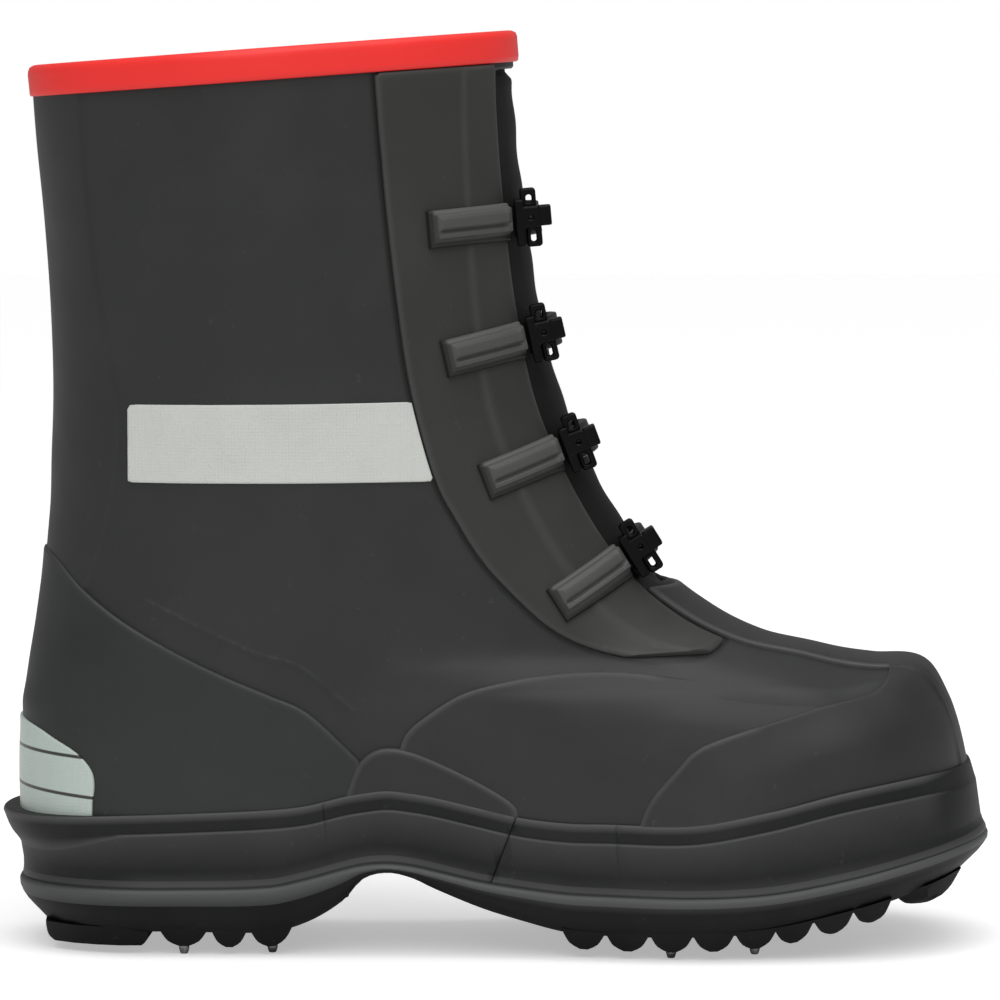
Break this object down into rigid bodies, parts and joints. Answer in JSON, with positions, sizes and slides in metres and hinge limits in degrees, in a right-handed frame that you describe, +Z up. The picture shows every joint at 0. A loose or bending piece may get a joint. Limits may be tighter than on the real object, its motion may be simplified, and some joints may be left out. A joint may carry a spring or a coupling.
{
  "type": "rubber winter overshoe",
  "caption": "Black rubber winter overshoe for the right foot, with a red collar binding, rubber buckles up the front, reflective patches and a studded lug sole.",
  "frame": {"origin": "on the floor, under the middle of the shoe's bounding box", "axes": "+X towards the toe, +Y towards the inner side of the foot, +Z up"},
  "size_m": [0.3328, 0.1298, 0.3069],
  "materials": {
    "upper_rubber": "matte",
    "facing_rubber": "matte",
    "sole_rubber": "matte",
    "buckle_rubber": "satin",
    "red_rubber": "satin",
    "reflective_film": "satin",
    "felt": "matte",
    "stud_steel": "brushed"
  },
  "bodies": {
    "root": {"outsole": "sole_rubber", "insole": "felt", "upper": "upper_rubber", "gusset": "upper_rubber", "facing_outer": "facing_rubber", "facing_inner": "facing_rubber", "heel_counter": "upper_rubber", "shank_patch_outer": "upper_rubber", "shank_patch_inner": "upper_rubber", "vamp_panel_outer": "upper_rubber", "vamp_panel_inner": "upper_rubber", "toe_strip": "upper_rubber", "toe_cap": "upper_rubber", "foxing_rear": "sole_rubber", "foxing_front": "sole_rubber", "collar_binding": "red_rubber", "side_reflector": "reflective_film", "heel_reflector": "reflective_film", "buckle_tab_outer_1": "facing_rubber", "buckle_tab_inner_1": "facing_rubber", "buckle_ladder_1": "buckle_rubber", "buckle_toggle_1": "buckle_rubber", "buckle_tab_outer_2": "facing_rubber", "buckle_tab_inner_2": "facing_rubber", "buckle_ladder_2": "buckle_rubber", "buckle_toggle_2": "buckle_rubber", "buckle_tab_outer_3": "facing_rubber", "buckle_tab_inner_3": "facing_rubber", "buckle_ladder_3": "buckle_rubber", "buckle_toggle_3": "buckle_rubber", "buckle_tab_outer_4": "facing_rubber", "buckle_tab_inner_4": "facing_rubber", "buckle_ladder_4": "buckle_rubber", "buckle_toggle_4": "buckle_rubber", "stud_1": "stud_steel", "stud_2": "stud_steel", "stud_3": "stud_steel", "stud_4": "stud_steel", "stud_5": "stud_steel", "stud_6": "stud_steel", "stud_7": "stud_steel", "stud_8": "stud_steel", "stud_9": "stud_steel", "stud_10": "stud_steel"}
  },
  "joints": []
}
